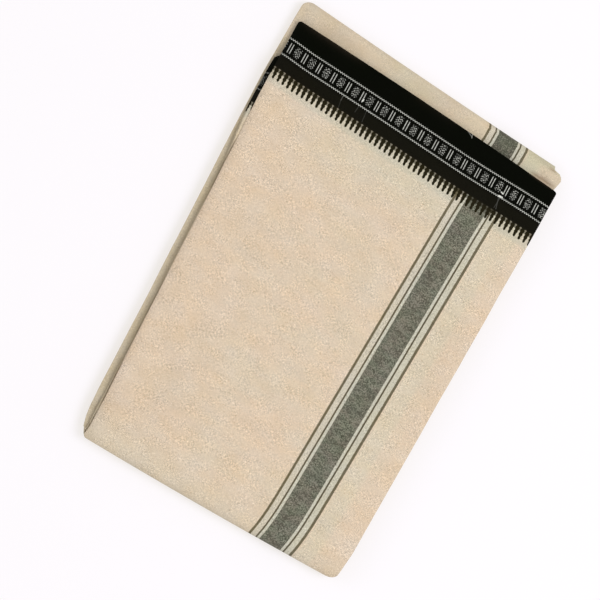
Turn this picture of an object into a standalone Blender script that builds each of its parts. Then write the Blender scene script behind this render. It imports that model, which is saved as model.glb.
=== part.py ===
"""A cotton dhoti folded flat: eight panels along its length, then twice across its width.

The cloth runs from its near selvedge over the face, round the bottom fold, back along the underside, round
the top fold, down to the inner fold, and up again to its far selvedge. The pack lies on its underside, with
its origin at the middle of its footprint and its selvedges towards +Y. Sizes are in millimetres, and
solid() turns them into metres.
"""

import math

import bmesh
import bpy

MM = 0.001

# The cloth in the pack. A wall is a panel with the one folded behind it, two layers of cloth.
WALL = 1.0
GAP = 0.3
STACK = 3.6  # the eight layers of one stretch
PRESSED_STACK = 3.3  # the same, where the stretch above weighs on it
PACK_HEIGHT = 2 * STACK + 2 * PRESSED_STACK + 3 * GAP

# Folds across the width, by the radius of the outer layer.
BOTTOM_FOLD = PACK_HEIGHT / 2
TOP_FOLD = STACK + GAP / 2
INNER_FOLD = GAP / 2  # the two stretches that meet inside the bottom fold

# The face steps down past the far selvedge, where the stretch below it ends.
STEP_START = 0.5
STEP_LENGTH = 15.0
TONGUE = 14.0  # how far the strip's outer layer reaches under the near selvedge
TONGUE_RAMP = 4.0
SECOND_FOOT = 18.0  # where the far selvedge's outer layer starts, above the bottom fold

# Where the ends and folds lie along Y: at the left edge, at the right edge, and the sag between them.
CROSS_LINES = {
    "near selvedge": dict(left=157.2, right=138.2, sag=-0.9),
    "far selvedge": dict(left=129.0, right=110.6, sag=-0.9),
    "top fold": dict(left=172.5, right=153.4, sag=0.0),
    "bottom fold": dict(left=-168.8, right=-172.5, sag=0.9),
}

# The side edges of each stretch: its x where it crosses y.
LEFT_EDGES = {
    "face": ((157.2, -105.6), (118.0, -105.7), (79.0, -105.3), (-8.0, -102.7), (-95.0, -99.9),
             (-138.0, -98.6), (-168.8, -98.9)),
    "second": ((129.0, -108.4), (118.0, -108.9), (79.0, -108.0), (-8.0, -104.4), (-95.0, -101.6),
               (-168.8, -99.0)),
    "underside": ((172.5, -107.6), (149.0, -108.6), (118.0, -109.3), (79.0, -109.4), (-8.0, -106.7),
                  (-95.0, -104.5), (-130.0, -103.8), (-150.0, -103.0), (-158.0, -102.0), (-164.0, -100.4),
                  (-168.8, -98.9)),
}
LEFT_EDGES["strip"] = LEFT_EDGES["underside"]
RIGHT_EDGES = {
    "face": ((138.2, 109.4), (79.0, 108.8), (-125.0, 105.9), (-150.0, 105.5), (-172.5, 103.3)),
    "second": ((110.6, 107.0), (-150.0, 103.5), (-172.5, 103.3)),
    "strip": ((153.4, 99.9), (151.6, 101.0), (151.0, 104.8), (149.0, 107.2), (146.5, 108.2),
              (142.5, 107.3), (138.8, 106.4), (110.0, 106.6), (-150.0, 103.5), (-172.5, 103.3)),
    "underside": ((153.4, 99.9), (80.0, 101.5), (-150.0, 103.5), (-172.5, 103.3)),
}

# Corners, as quarter ellipses: how far each reaches across the pack and along it.
CORNERS = {
    ("near selvedge", "left"): (2.2, 2.0),
    ("near selvedge", "right"): (3.0, 2.2),
    ("far selvedge", "left"): (3.0, 2.4),
    ("far selvedge", "right"): (2.0, 2.0),
    ("top fold", "left"): (6.3, 6.0),
    ("bottom fold", "left"): (2.6, 2.6),
    ("bottom fold", "right"): (8.0, 5.0),
}

# The hidden layers come out at each side as three folded pairs: how far each pair stands back.
LEFT_PAIRS = (0.5, 1.3, 0.8)
RIGHT_PAIRS = (1.0, 0.6, 1.4)
# The rounding of one folded pair's edge: its share of the pair's depth, and how far it stands back.
PAIR_ROUND = ((0.0, 0.45), (0.25, 0.08), (0.5, 0.0), (0.75, 0.08))
WALL_ROUND = PAIR_ROUND + ((1.0, 0.45),)

# The corners that cut each stretch's side edges.
CORNER_LINES = {
    "face": ("near selvedge", "bottom fold"),
    "second": ("far selvedge", "bottom fold"),
    "strip": ("top fold", "bottom fold"),
    "underside": ("top fold", "bottom fold"),
}

# Where the rings lie along each flat run, by their distance from the end or fold in the name.
FACE_FROM_SELVEDGE = (1.0, 2.2, 5.0, 9.0, 12.0, 14.5, 17.0, 19.5, 22.0, 25.0, 28.0, 33.0, 50.0, 90.0, 130.0,
                      170.0, 210.0, 245.0)
FACE_FROM_BOTTOM = (40.0, 18.0, 5.0, 1.5)
UNDERSIDE_FROM_BOTTOM = (1.5, 5.0, 20.0, 60.0, 110.0, 160.0, 210.0, 260.0)
UNDERSIDE_FROM_TOP = (40.0, 18.0, 8.0, 3.0, 1.0)
STRIP_FROM_TOP = (0.4, 1.2, 2.2, 3.4, 5.0, 7.0, 9.5, 12.5)
THIRD_FROM_TONGUE = (30.0, 80.0, 130.0)
THIRD_FROM_BOTTOM = (140.0, 90.0, 45.0, 18.0, 4.0)
SECOND_FROM_BOTTOM = (40.0, 70.0, 120.0, 170.0)
SECOND_FROM_SELVEDGE = (70.0, 45.0, 25.0, 12.0, 6.0, 3.0, 1.8, 0.8)
HIDDEN_SETBACK = 0.7  # how far the hidden layers end behind the near selvedge
EDGE_CLEARANCE = 0.8  # along the cloth, between an outer layer's end and the layers that rise past it
FOLD_RINGS = 9
SEAM_ANGLE = math.degrees(GAP / 2 / BOTTOM_FOLD)  # half the gap between the two outer stretches

# Where the rings' points lie across the pack, from its left edge to its right.
SHARES = (0.0, 0.015, 0.05, 0.15, 0.3, 0.45, 0.6, 0.75, 0.88, 0.96, 1.0)

COLOURS = {
    "front_stretch": (0.73, 0.60, 0.43, 1.0),
    "under_stretch": (0.70, 0.58, 0.42, 1.0),
    "second_stretch": (0.70, 0.58, 0.42, 1.0),
    "hidden_layers": (0.62, 0.51, 0.37, 1.0),
}
COTTON_ROUGHNESS = 0.9
SMOOTH_ANGLE = math.radians(40)


def cross_line(name, share):
    line = CROSS_LINES[name]
    return line["left"] + (line["right"] - line["left"]) * share - line["sag"] * 4 * share * (1 - share)


def between(rows, y):
    """The value at y of a table of (y, value) rows that run down the pack."""
    if y >= rows[0][0]:
        return rows[0][1]
    for (y_high, high), (y_low, low) in zip(rows, rows[1:]):
        if y >= y_low:
            return low + (high - low) * (y - y_low) / (y_high - y_low)
    return rows[-1][1]


def smooth(share):
    share = min(max(share, 0.0), 1.0)
    return share * share * (3 - 2 * share)


def corner_cut(line, side, y):
    """How far the corner at an end or a fold draws the side edge in, at y."""
    if (line, side) not in CORNERS:
        return 0.0
    across, along = CORNERS[line, side]
    distance = abs(y - cross_line(line, 0.0 if side == "left" else 1.0))
    if distance >= along:
        return 0.0
    return across * (1 - math.sqrt(max(0.0, 1 - (1 - distance / along) ** 2)))


# A station is one ring of the cloth. Its point function takes the share across the pack and gives the outer
# layer's place there, as y and z, and the direction from it to the inner layers.


def on_face(down):
    """On the face, this far down from the near selvedge."""

    def point(share):
        y = cross_line("near selvedge", share) - down
        past = y - cross_line("far selvedge", share) - STEP_START
        drop = (PRESSED_STACK + GAP) * smooth(past / STEP_LENGTH)
        return y, PACK_HEIGHT - drop, 0.0, -1.0

    return point


def on_flat(line, offset, height, inwards):
    """On a flat run, at this offset along Y from an end or a fold. inwards is 1 for up and -1 for down."""

    def point(share):
        return cross_line(line, share) + offset, height, 0.0, inwards

    return point


def on_fold(line, offset, centre, radius, angle, inwards=1.0):
    """On a round fold, at an angle that starts at its top and turns towards -Y."""
    across, up = -math.sin(math.radians(angle)), math.cos(math.radians(angle))

    def point(share):
        y = cross_line(line, share) + offset + radius * across
        return y, centre + radius * up, -inwards * across, -inwards * up

    return point


def station(stretch, point, outer, inner, other=None, blend=0.0):
    """A ring: the depths it fills, and the stretch or the two stretches whose side edges it has."""
    return dict(stretch=stretch, point=point, outer=outer, inner=inner, other=other or stretch, blend=blend)


def steps(first, last, count):
    return [first + (last - first) * i / (count - 1) for i in range(count)]


def face_run(start, outer, inner):
    rows = [station("face", on_face(down), outer, inner) for down in (start,) + FACE_FROM_SELVEDGE]
    rows += [
        station("face", on_flat("bottom fold", BOTTOM_FOLD + run, PACK_HEIGHT, -1.0), outer, inner)
        for run in FACE_FROM_BOTTOM
    ]
    return rows


def bottom_fold_run(first, last, count, outer, inner_above, inner_below):
    return [
        station(
            "face",
            on_fold("bottom fold", BOTTOM_FOLD, BOTTOM_FOLD, BOTTOM_FOLD, angle),
            outer,
            inner_above + (inner_below - inner_above) * angle / 180,
            "underside",
            smooth(angle / 180),
        )
        for angle in steps(first, last, count)
    ]


def underside_run(outer, inner):
    rows = [
        station("underside", on_flat("bottom fold", BOTTOM_FOLD + run, 0.0, 1.0), outer, inner)
        for run in UNDERSIDE_FROM_BOTTOM
    ]
    rows += [
        station("underside", on_flat("top fold", -TOP_FOLD - run, 0.0, 1.0), outer, inner)
        for run in UNDERSIDE_FROM_TOP
    ]
    return rows


def top_fold_run(outer, inner):
    return [
        station(
            "underside",
            on_fold("top fold", -TOP_FOLD, TOP_FOLD, TOP_FOLD, angle),
            outer,
            inner,
            "strip",
            smooth((angle - 180) / 180),
        )
        for angle in steps(180, 360, FOLD_RINGS)
    ]


def strip_run(outer, inner):
    rows = [
        station("strip", on_flat("top fold", -TOP_FOLD - run, 2 * TOP_FOLD, -1.0), outer, inner)
        for run in STRIP_FROM_TOP
    ]
    rows.append(station("strip", on_flat("near selvedge", -TONGUE, 2 * TOP_FOLD, -1.0), outer, inner))
    return rows


def third_run():
    """The rest of the strip's stretch, under the face and down to the inner fold, from its outer layer in."""
    ramp = [(EDGE_CLEARANCE, WALL + GAP), (EDGE_CLEARANCE + TONGUE_RAMP, 0.0)]
    rows = [
        station("strip", on_flat("near selvedge", -TONGUE - run, 2 * TOP_FOLD, -1.0), outer, STACK)
        for run, outer in ramp + [(run, 0.0) for run in THIRD_FROM_TONGUE]
    ]
    rows += [
        station("strip", on_flat("bottom fold", BOTTOM_FOLD + run, 2 * TOP_FOLD, -1.0), 0.0, STACK)
        for run in THIRD_FROM_BOTTOM
    ]
    return rows


def inner_fold_run():
    centre = 2 * TOP_FOLD + INNER_FOLD
    return [
        station(
            "strip",
            on_fold("bottom fold", BOTTOM_FOLD, centre, INNER_FOLD, angle, inwards=-1.0),
            0.0,
            STACK + (PRESSED_STACK - STACK) * (180 - angle) / 180,
            "second",
            smooth((180 - angle) / 180),
        )
        for angle in steps(180, 0, FOLD_RINGS)
    ]


def second_ring(line, offset, outer, inner):
    return station("second", on_flat(line, offset, 2 * TOP_FOLD + GAP, 1.0), outer, inner)


def second_run(start, outer, inner):
    """The second stretch, from this far above the bottom fold up to the far selvedge."""
    rows = [second_ring("bottom fold", run, outer, inner) for run in (start,) + SECOND_FROM_BOTTOM]
    return rows + [second_ring("far selvedge", -run, outer, inner) for run in SECOND_FROM_SELVEDGE]


def side_edge(ring, side, y):
    """The x of a ring's left or right end at y, with the corners cut."""
    tables, inwards = (LEFT_EDGES, 1) if side == "left" else (RIGHT_EDGES, -1)
    edges = []
    for stretch in (ring["stretch"], ring["other"]):
        cut = max(corner_cut(line, side, y) for line in CORNER_LINES[stretch])
        edges.append(between(tables[stretch], y) + inwards * cut)
    return edges[0] + (edges[1] - edges[0]) * ring["blend"]


def cloth_material(name):
    material = bpy.data.materials.new(name + " cotton")
    material.use_nodes = True
    surface = material.node_tree.nodes["Principled BSDF"]
    surface.inputs["Base Color"].default_value = COLOURS[name]
    surface.inputs["Roughness"].default_value = COTTON_ROUGHNESS
    surface.inputs["Metallic"].default_value = 0.0
    return material


def ring_points(ring, edge_rows):
    """The points of one ring: for each depth row, one at each share across the pack."""
    rows = []
    left_y, right_y = ring["point"](0.0)[0], ring["point"](1.0)[0]
    left, right = side_edge(ring, "left", left_y), side_edge(ring, "right", right_y)
    for depth_share, left_back, right_back in edge_rows:
        depth = ring["outer"] + (ring["inner"] - ring["outer"]) * depth_share
        row = []
        for share in SHARES:
            y, z, y_inwards, z_inwards = ring["point"](share)
            x = (left + left_back) * (1 - share) + (right - right_back) * share
            row.append((x * MM, (y + depth * y_inwards) * MM, (z + depth * z_inwards) * MM))
        rows.append(row)
    return rows


def solid(name, stations, edge_rows):
    """A closed solid through the stations. An edge row is a share of the depth and how far it stands back."""
    rings = [ring_points(ring, edge_rows) for ring in stations]
    last = (len(rings) - 1, len(edge_rows) - 1, len(SHARES) - 1)
    mesh = bmesh.new()
    corners = {}

    def corner(*place):
        if place not in corners:
            i, j, k = place
            corners[place] = mesh.verts.new(rings[i][j][k])
        return corners[place]

    for fixed in range(3):
        first, second = [axis for axis in range(3) if axis != fixed]
        for end in (0, last[fixed]):
            for a in range(last[first]):
                for b in range(last[second]):
                    quad = []
                    for da, db in ((0, 0), (1, 0), (1, 1), (0, 1)):
                        place = [0, 0, 0]
                        place[fixed], place[first], place[second] = end, a + da, b + db
                        quad.append(corner(*place))
                    mesh.faces.new(quad)
    bmesh.ops.recalc_face_normals(mesh, faces=mesh.faces)
    data = bpy.data.meshes.new(name)
    mesh.to_mesh(data)
    mesh.free()
    data.materials.append(cloth_material(name))
    data.shade_smooth()
    data.set_sharp_from_angle(angle=SMOOTH_ANGLE)
    piece = bpy.data.objects.new(name, data)
    bpy.context.scene.collection.objects.link(piece)
    return piece


def wall_rows():
    return [(share, back, back) for share, back in WALL_ROUND]


def paired_rows():
    rows = []
    pairs = list(zip(LEFT_PAIRS, RIGHT_PAIRS))
    for number, (left, right) in enumerate(pairs):
        rows += [((number + share) / len(pairs), left + back, right + back) for share, back in PAIR_ROUND]
    left, right = pairs[-1]
    rows.append((1.0, left + WALL_ROUND[-1][1], right + WALL_ROUND[-1][1]))
    return rows


def front_stretch():
    rings = face_run(0.0, 0.0, WALL)
    rings += bottom_fold_run(6.0, 90.0 - SEAM_ANGLE, FOLD_RINGS, 0.0, WALL, WALL)
    return solid("front_stretch", rings, wall_rows())


def under_stretch():
    rings = bottom_fold_run(90.0 + SEAM_ANGLE, 174.0, FOLD_RINGS, 0.0, WALL, WALL)
    rings += underside_run(0.0, WALL) + top_fold_run(0.0, WALL) + strip_run(0.0, WALL)
    return solid("under_stretch", rings, wall_rows())


def second_stretch():
    rings = second_run(SECOND_FOOT, PRESSED_STACK - WALL, PRESSED_STACK)
    return solid("second_stretch", rings, wall_rows())


def hidden_layers():
    """Every layer under the outer ones, in one run through all the folds."""
    outer = WALL + GAP
    under_second = PRESSED_STACK - WALL - GAP
    rings = face_run(HIDDEN_SETBACK, outer, PRESSED_STACK)
    rings += bottom_fold_run(0.0, 180.0, 2 * FOLD_RINGS - 5, outer, PRESSED_STACK, STACK)
    rings += underside_run(outer, STACK) + top_fold_run(outer, STACK) + strip_run(outer, STACK)
    rings += third_run() + inner_fold_run()
    rings.append(second_ring("bottom fold", BOTTOM_FOLD + 2.0, 0.0, PRESSED_STACK))
    rings.append(second_ring("bottom fold", SECOND_FOOT - TONGUE_RAMP, 0.0, PRESSED_STACK))
    rings.append(second_ring("bottom fold", SECOND_FOOT - EDGE_CLEARANCE, 0.0, under_second))
    rings += second_run(SECOND_FOOT + TONGUE_RAMP, 0.0, under_second)
    return solid("hidden_layers", rings, paired_rows())


def main():
    for thing in list(bpy.data.objects):
        bpy.data.objects.remove(thing, do_unlink=True)
    pack = bpy.data.objects.new("dhoti_pack", None)
    bpy.context.scene.collection.objects.link(pack)
    for piece in (front_stretch(), under_stretch(), second_stretch(), hidden_layers()):
        piece.parent = pack


main()
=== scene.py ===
"""A cotton dhoti folded flat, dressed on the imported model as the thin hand-loomed cloth that it is.

The cloth is folded into eight panels along its length, to and fro, and then twice across its width. Each
piece is a run of those panels: every layer is a sheet of its own, turned round real folds at the sides.
Sizes are in millimetres, and MM turns them into the frame's metres. The map "cloth" lays the woven
pattern: it runs along the cloth from the right-hand brown line, and across it from the near selvedge.
"""

import math
from collections import namedtuple

import bpy
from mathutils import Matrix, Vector, noise


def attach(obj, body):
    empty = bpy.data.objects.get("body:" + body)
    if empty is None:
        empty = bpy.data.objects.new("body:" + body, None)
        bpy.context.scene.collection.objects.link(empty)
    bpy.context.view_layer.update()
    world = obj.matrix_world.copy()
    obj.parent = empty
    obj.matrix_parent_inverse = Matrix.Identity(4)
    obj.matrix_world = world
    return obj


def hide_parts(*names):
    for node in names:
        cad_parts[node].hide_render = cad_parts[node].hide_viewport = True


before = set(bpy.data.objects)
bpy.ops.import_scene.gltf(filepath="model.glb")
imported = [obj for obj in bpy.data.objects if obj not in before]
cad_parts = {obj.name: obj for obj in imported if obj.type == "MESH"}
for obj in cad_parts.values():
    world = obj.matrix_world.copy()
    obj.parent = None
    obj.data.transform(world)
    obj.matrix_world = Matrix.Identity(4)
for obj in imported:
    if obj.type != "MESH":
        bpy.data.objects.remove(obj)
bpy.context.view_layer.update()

MM = 0.001

# The folded cloth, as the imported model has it.
LAYERS = 8
STACK = 3.6  # the eight layers of one stretch
PRESSED_STACK = 3.3  # the same, where the stretch above weighs on it
GAP = 0.3
PACK_HEIGHT = 2 * STACK + 2 * PRESSED_STACK + 3 * GAP
CLOTH_WIDTH = 1270.0  # from selvedge to selvedge
CLOTH_THICKNESS = 0.36
PANEL = 215.0  # one panel, from side fold to side fold

# The radius of the outer panel at each fold across the width.
BOTTOM_FOLD = PACK_HEIGHT / 2
TOP_FOLD = STACK + GAP / 2
INNER_FOLD = GAP / 2
# Where the stretches meet, along Y.
STEP_START = 0.5  # this far past the far selvedge the face starts to step down to the strip
STEP_LENGTH = 15.0
TONGUE = 14.0  # how far the strip runs on under the near selvedge, before the hidden panels start
SECOND_FOOT = 18.0  # how far above the bottom fold the second stretch's own piece starts

# The ends and folds across the pack: their y at the left and the right, and how far the middle sags.
CrossLine = namedtuple("CrossLine", "left right sag")
CROSS_LINES = {
    "near selvedge": CrossLine(156.9, 138.6, -0.9),
    "far selvedge": CrossLine(129.0, 110.6, -0.9),
    "top fold": CrossLine(172.9, 154.4, 0.5),
    "bottom fold": CrossLine(-169.5, -173.0, 0.9),
}
# The sides of each stretch, by (y, x), down the pack.
LEFT_EDGES = {
    "face": ((157.2, -105.6), (118.0, -105.7), (79.0, -104.8), (60.0, -103.8), (20.0, -102.4),
             (-8.0, -101.7), (-95.0, -99.2), (-138.0, -97.5), (-160.0, -97.2), (-168.8, -98.2)),
    "second": ((129.0, -108.4), (118.0, -108.9), (90.0, -108.7), (79.0, -107.9), (50.0, -105.0),
               (20.0, -103.5), (-8.0, -102.6), (-95.0, -100.3), (-168.8, -98.9)),
    "underside": ((172.5, -109.0), (149.0, -109.9), (118.0, -110.4), (79.0, -110.0), (-8.0, -107.6),
                  (-95.0, -105.5), (-130.0, -104.8), (-150.0, -104.0), (-158.0, -102.8), (-164.0, -101.1),
                  (-168.8, -99.1)),
}
LEFT_EDGES["strip"] = LEFT_EDGES["underside"]
RIGHT_EDGES = {
    "face": ((138.2, 109.4), (79.0, 108.8), (-125.0, 105.9), (-150.0, 105.5), (-172.5, 103.3)),
    "second": ((110.6, 107.0), (-150.0, 103.5), (-172.5, 103.3)),
    "strip": ((153.4, 99.9), (151.6, 101.0), (151.0, 104.8), (149.0, 107.2), (146.5, 108.2),
              (142.5, 107.3), (138.8, 106.4), (110.0, 106.6), (-150.0, 103.5), (-172.5, 103.3)),
    "underside": ((153.4, 99.9), (80.0, 101.5), (-150.0, 103.5), (-172.5, 103.3)),
}
# How far the rounded corners reach, across and along, and which of them each stretch has.
CORNERS = {
    ("near selvedge", "left"): (2.2, 2.0),
    ("near selvedge", "right"): (3.0, 2.2),
    ("far selvedge", "left"): (3.0, 2.4),
    ("far selvedge", "right"): (2.0, 2.0),
    ("top fold", "left"): (6.3, 6.0),
    ("bottom fold", "left"): (2.6, 2.6),
    ("bottom fold", "right"): (8.0, 5.0),
}
CORNER_LINES = {
    "face": ("near selvedge", "bottom fold"),
    "second": ("far selvedge", "bottom fold"),
    "strip": ("top fold", "bottom fold"),
    "underside": ("top fold", "bottom fold"),
}

# How far each side fold and cut end stands back from the pack's edge, from the outer layer inwards.
LEFT_BACK = (0.0, 0.5, 1.2, 0.8)
RIGHT_BACK = (0.0, 0.7, 1.1, 0.6, 1.3)
SELVEDGE_BACK = (-0.4, 0.5, 1.0, 0.6, 1.3, 0.8, 1.2, 0.7)  # the same for the layers' ends at the selvedges
SELVEDGE_FADE = 25.0
# How far the edges stray along their way, in slow and quick swells of these lengths.
EDGE_WANDER = 0.28
SELVEDGE_WANDER = 0.22
SELVEDGE_WANDER_FADE = 6.0
SLOW_STRAY = 38.0
QUICK_STRAY = 9.0
QUICK_SHARE = 0.35  # how strong the quick swells are beside the slow ones
NOISE_LINES_APART = 5.3  # each edge follows a line of the noise of its own
SIDE_LINES = {"left": 20, "right": 40}

# The stripes run across the cloth: where the right-hand brown line lies, by (y, x), down each stretch.
STRIPE_LINES = {
    "face": ((155.0, 82.6), (98.8, 80.5), (79.3, 79.6), (0.0, 76.9), (-121.1, 72.7), (-138.0, 72.05),
             (-148.0, 71.5), (-156.0, 70.8), (-164.0, 69.7), (-171.9, 68.2)),
    "strip": ((156.0, 76.7), (147.0, 77.0), (141.7, 76.5), (110.0, 75.4), (-172.0, 68.2)),
    "underside": ((172.0, 76.4), (-120.0, 71.5), (-172.0, 68.2)),
    "second": ((130.0, 75.0), (-172.0, 68.2)),
}

STRIP_GATHER = 1.07  # the stripes lie this much closer together on the strip
# The cloth is wider than its path: the surplus lies in this part of the way, as shares of it.
SURPLUS_START = 0.3
SURPLUS_LENGTH = 0.4

# Soft creases in the pressed cloth, from one end to the other. A trough has a depth below nothing.
Crease = namedtuple("Crease", "x1 y1 x2 y2 width depth")
FACE_CREASES = (
    Crease(-97, -96, -93, 60, 8, -0.14),
    Crease(-104, -176, -84, -116, 13, -0.30),
    Crease(-64, -168, -58, -40, 16, -0.22),
    Crease(-20, -172, -26, -92, 9, 0.18),
    Crease(-5, 96, 14, 22, 14, -0.09),
    Crease(30, -60, 44, -160, 18, 0.24),
    Crease(78, -96, 76, -168, 2.2, -0.16),
    Crease(-70, 84, -30, 62, 15, 0.22),
    Crease(96, 60, 92, -70, 10, -0.24),
    Crease(-90, 20, -34, -6, 12, -0.15),
    Crease(20, 108, 62, 92, 10, 0.16),
)
STRIP_CREASES = (
    Crease(84, 142.8, 108, 140.6, 1.4, -1.1),
    Crease(92.5, 147.0, 100, 141.4, 1.0, -1.0),
    Crease(95, 152.0, 103, 150.3, 0.8, -0.9),
    Crease(60, 151, 84, 147, 5, 0.35),
    Crease(-20, 158, 34, 153, 6, -0.10),
    Crease(-112, 163, -44, 158, 5, -0.22),
)
UNDERSIDE_CREASES = (
    Crease(-70, -150, -60, 40, 13, 0.30),
    Crease(10, -120, 30, 90, 17, 0.24),
    Crease(70, -20, 62, 130, 11, 0.28),
    Crease(-30, 60, -44, 150, 9, 0.20),
    Crease(40, -160, 52, -90, 8, 0.22),
)
UNDULATION = 0.30  # of the pressed cloth, in broad and quick swells of these sizes
BROAD_SWELL = 62.0
QUICK_SWELL = 21.0
# The layers thin out towards the folds, so the edges droop: the share of the height lost there.
DROOP = 0.05
DROOP_REACH = 11.0
RIGHT_DROOP = 0.4  # of the droop at the left
BOTTOM_DROOP = 0.065
BOTTOM_REACH = 22.0
BOTTOM_LEFT = -99.0  # where the bottom fold starts, and its width
BOTTOM_WIDTH = 202.0
SHOULDER = 0.10  # the same for the face's own left edge
SHOULDER_REACH = 6.0
# The folds that show outside that edge stand up: the share of their height, and how far out this starts.
LEDGE_LIFT = 0.18
LEDGE_START = 0.8
LEDGE_RISE = 0.7
FACE_CREASE_SHADE = 0.35  # how dark the painted shade in the face's shallow troughs is beside the strip's

# How far apart the sheets' points lie.
ROW_STEP = 3.2
FINE_STEP = 1.4
HIDDEN_STEP = 7.0
SELVEDGE_STEP = 0.5
SELVEDGE_REACH = 8.0
SELVEDGE_ROWS = 8
STEP_ROWS = 20  # where the face steps down, from the near selvedge
STEP_ROWS_START = 4.0
STEP_ROWS_APART = 1.3
STEP_ROWS_END = 30.0
BOTTOM_FOLD_ROWS = 24
TOP_FOLD_ROWS = 18
INNER_FOLD_ROWS = 10
SHOWN_COLUMNS = 64
HIDDEN_COLUMNS = 15
CROWDED_COLUMNS = 0.7  # the share of their spacing that draws them towards the side folds
EVEN_COLUMNS = 0.3  # and the share that is even
FOLD_ANGLES = (30.0, 60.0, 90.0, 120.0, 150.0)
SMOOTH_ANGLE = 50.0

# A slow change across or along the cloth: from, to, and the value at each.
Slope = namedtuple("Slope", "low high at_low at_high", defaults=(0.0, 1.0))

# The woven border, across the cloth from the selvedge. A half is half of a width.
FIRST_LINE = 14.55
SECOND_LINE = 27.3
LINE_HALF = 0.32
STITCH = 1.72  # the pitch of the slanted stitches in the white lines
STITCH_SLANT = 0.20  # how far a stitch runs across the line, for each millimetre along it
STITCH_WAVE = 0.95
STITCH_WHITE = 0.88
STITCH_END_DARKER = 0.45
MOTIF_MIDDLE = 20.9  # the row of bars and figures between the two lines
MOTIF_HALF = 3.8
MOTIF_PITCH = 12.06
BAR_OFF_MIDDLE = 0.98  # how far each bar of a pair stands from the pair's middle
BAR_HALF = 0.29
BAR_SLANT = 0.04
BAR_STITCH = 1.3
BAR_WHITE = 0.92
BAR_STITCH_DARKER = 0.55
FIGURE_WAIST = 2.75
FIGURE_NARROWING = 0.14  # for each millimetre away from the waist
FIGURE_RAGGED = 0.9
FIGURE_ROW = 1.95  # from one chevron of a figure to the next
FIGURE_ROW_START = 0.1
FIGURE_ROW_HALF = 0.19  # as a share of the row
FIGURE_HUMP = 2.25  # each chevron's pitch along the cloth, and how high it rises
FIGURE_RISE = 1.4
FIGURE_WAVER = 2.4
TOOTH_PITCH = 4.035
TOOTH_MIDDLE = 41.5  # the teeth lean about this height
TOOTH_SLANT = -0.06
# The slits between the black teeth, down from their tops: from, to, and the change of the half width.
SLIT_STEPS = (
    (37.0, 37.5, 1.16),  # cap
    (37.7, 38.3, -0.46),  # neck
    (39.4, 40.2, 0.38),  # fingers
    (40.7, 41.2, -0.18),  # waist
    (41.8, 42.9, 0.48),  # broad fingers
    (44.5, 46.2, 1.2),  # tips
)
SLIT_CLOSED = -0.3
SLIT_UNEVEN = 0.8
SLIT_CLEAR = Slope(39.6, 40.6, 0.32, 1.0)  # black yarn crosses the slits above this
INNER_BLACK = Slope(SECOND_LINE - 2.0, SECOND_LINE + 4.0)  # where the black is more faded
TEETH = Slope(36.0, 39.0)
BELOW_BORDER = Slope(45.0, 95.0, 1.0, 0.0)
# Along the cloth, from the right-hand brown line.
FIRST_BARS = 182.86
FIRST_SLIT = 181.25
# Towards the cut end the pattern crowds together: the slopes say how far along it moves.
CROWDING = (Slope(24.0, 40.0, 1.15, 0.0), Slope(-20.0, 24.0, 1.25, 0.0))
# The border runs nearer the selvedge at the left-hand fold and the cut end, by so much.
DRAWN_IN_AT_FOLD = Slope(163.0, 186.0, 0.0, 0.95)
DRAWN_IN_AT_END = Slope(-30.0, 45.0, 2.45, 0.0)
# Along the far selvedge the white yarn is rubbed away at the side folds.
RUBBED_AT_FOLD = Slope(1.5, 5.0, 0.3, 1.0)
NEAR_HALF = Slope(CLOTH_WIDTH * 0.5, CLOTH_WIDTH * 0.6, 1.0, 0.0)
# How soft the edges of the woven pattern are.
YARN_EDGE = 0.16
BAR_EDGE = 0.14
CHEVRON_EDGE = 0.12
LOOSE_EDGE = 0.15
MOTIF_EDGE = 0.2

# Loose ends of white yarn on the near border, from one end of each to the other.
Thread = namedtuple("Thread", "along across to_along to_across half strength")
LOOSE_ENDS = (
    Thread(6.4, 25.7, 4.0, 25.4, 0.62, 1.0),
    Thread(6.2, 22.4, 4.8, 22.8, 0.50, 0.95),
    Thread(6.1, 26.4, 3.6, 34.4, 0.20, 0.10),
    Thread(5.0, 26.6, 5.2, 34.3, 0.18, 0.07),
    Thread(134.5, 27.4, 134.4, 31.5, 0.24, 0.11),
    Thread(134.4, 31.5, 133.3, 36.8, 0.22, 0.035),
    Thread(121.5, 27.4, 121.9, 33.0, 0.24, 0.045),
    Thread(115.4, 27.2, 114.2, 36.2, 0.22, 0.035),
    Thread(121.2, 23.6, 121.1, 22.2, 0.50, 0.95),
    Thread(47.6, 0.0, 43.2, 2.0, 0.20, 0.28),
    Thread(44.0, 0.0, 43.0, 2.6, 0.24, 0.36),
)

# Colours of the yarns, and of the shade painted on the cloth. The greener ones are for the patches of a
# ground.
CREAM = (0.655, 0.522, 0.389, 1.0)
GREENER_CREAM = (0.601, 0.526, 0.398, 1.0)
# Darker copies of the cream, for the stretches that lie lower and for the hidden layers: painted shade.
SHADED_CREAM = (0.602, 0.497, 0.363, 1.0)
GREENER_SHADED = (0.525, 0.490, 0.352, 1.0)
SHADED_INNER_CREAM = (0.54, 0.46, 0.33, 1.0)
GREENER_SHADED_INNER = (0.50, 0.44, 0.31, 1.0)
BLACK_YARN = (0.0012, 0.0016, 0.0004, 1.0)
FADED_BLACK = (0.0064, 0.0058, 0.0032, 1.0)
TOOTH_BLACK = (0.0150, 0.0125, 0.0045, 1.0)
WHITE_YARN = (0.66, 0.66, 0.60, 1.0)
# Painted shade where the strip turns away round the top fold.
TOP_FOLD_SHADE = (0.490, 0.450, 0.322, 1.0)
PALE_FINGERS = (0.490, 0.468, 0.372, 1.0)
FLECK = (0.42, 0.27, 0.16, 1.0)
PALE_SLUB = (0.77, 0.65, 0.52, 1.0)
# Painted shade, brown, for the troughs of the creases.
PAINTED_CREASE_SHADE = (0.29, 0.20, 0.135, 1.0)
PALER_GREY = (0.262, 0.268, 0.201, 1.0)
BROWNER_GREY = (1.09, 0.985, 1.03, 1.0)  # multiplies the grey where it is browner
BETWEEN_THREADS = (0.76, 0.74, 0.69, 1.0)  # multiplies the stripes beside it where the weave gapes
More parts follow.
